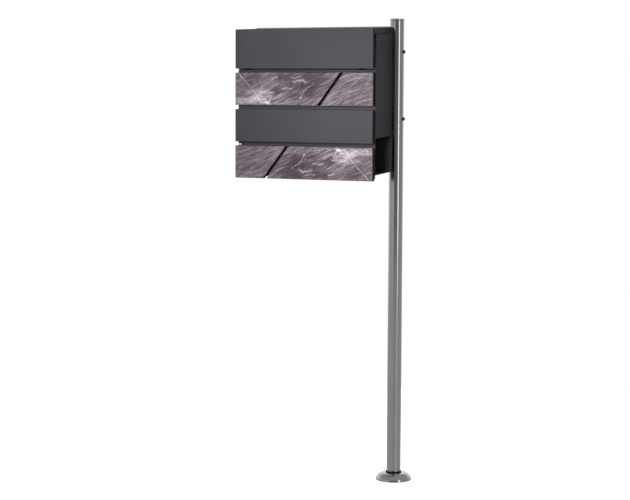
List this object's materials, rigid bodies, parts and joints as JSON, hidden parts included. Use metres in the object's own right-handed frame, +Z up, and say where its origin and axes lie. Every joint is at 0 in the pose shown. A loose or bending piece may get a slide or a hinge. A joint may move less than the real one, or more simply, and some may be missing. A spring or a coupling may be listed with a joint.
{
  "type": "post-mounted letterbox",
  "caption": "Sheet-steel letterbox with a lifting lid, a side-hinged front door, slanting-slot decor tiles and an open newspaper compartment, on a round floor post.",
  "frame": {"origin": "on the post's axis at the underside of its floor plate", "axes": "+Z up along the post, -Y towards the front of the box, +X to the right of the box as seen from its front"},
  "size_m": [0.419, 0.1857, 1.146],
  "materials": {
    "anthracite_powder_coat": "satin",
    "printed_steel": "satin",
    "brushed_stainless": "brushed",
    "polished_stainless": "polished",
    "zinc_plated_steel": "satin",
    "weld_steel": "matte",
    "dark_fasteners": "satin",
    "black_rubber": "matte",
    "nickel_plated": "satin"
  },
  "bodies": {
    "root": {"post_tube": "brushed_stainless", "post_cap": "brushed_stainless", "base_plate": "zinc_plated_steel", "base_weld": "weld_steel", "bracket_upper": "zinc_plated_steel", "bracket_lower": "zinc_plated_steel", "post_bolts": "dark_fasteners", "post_bolt_washers": "dark_fasteners", "post_bolt_nuts": "dark_fasteners", "bracket_screws": "dark_fasteners", "bracket_washers": "dark_fasteners", "bracket_nuts": "dark_fasteners", "body_shell": "anthracite_powder_coat", "mail_floor": "anthracite_powder_coat", "newspaper_trough": "anthracite_powder_coat", "lock_rail": "anthracite_powder_coat", "body_rivets": "dark_fasteners", "lid_hinge_fixed_leaf": "zinc_plated_steel", "lid_hinge_pin": "zinc_plated_steel", "door_hinge_upper_fixed_leaf": "zinc_plated_steel", "door_hinge_lower_fixed_leaf": "zinc_plated_steel", "door_hinge_pins": "zinc_plated_steel", "tile_lower_short": "printed_steel", "tile_lower_long": "printed_steel", "standoffs_lower": "zinc_plated_steel", "tile_screws_lower": "dark_fasteners", "lock_barrel": "nickel_plated", "lock_nut": "nickel_plated"},
    "lid": {"lid": "anthracite_powder_coat", "lid_bumpers": "black_rubber", "lid_hinge_moving_leaf": "zinc_plated_steel"},
    "door": {"door_panel": "anthracite_powder_coat", "door_hinge_upper_moving_leaf": "zinc_plated_steel", "door_hinge_lower_moving_leaf": "zinc_plated_steel", "tile_upper_long": "printed_steel", "tile_upper_short": "printed_steel", "tile_middle": "anthracite_powder_coat", "standoffs_upper": "zinc_plated_steel", "standoffs_middle": "zinc_plated_steel", "tile_screws_door": "dark_fasteners"},
    "lock_core": {"lock_plug": "nickel_plated", "lock_cam": "zinc_plated_steel", "cam_screw": "nickel_plated"},
    "rosette": {"base_rosette": "polished_stainless"}
  },
  "joints": [
    {"name": "lid_hinge", "type": "hinge", "parent": "root", "child": "lid", "pos_m": [-0.189, -0.029, 1.12301], "axis": [-1, 0, 0], "range_deg": [0, 85]},
    {"name": "door_hinge", "type": "hinge", "parent": "root", "child": "door", "pos_m": [-0.3714, -0.1247, 0.93], "axis": [0, 0, -1], "range_deg": [0, 105]},
    {"name": "lock_turn", "type": "hinge", "parent": "root", "child": "lock_core", "pos_m": [-0.042, -0.1104, 1.042], "axis": [0, -1, 0], "range_deg": [0, 90]},
    {"name": "rosette_slide", "type": "slide", "parent": "root", "child": "rosette", "axis": [0, 0, 1], "range_m": [0, 0.3]}
  ]
}
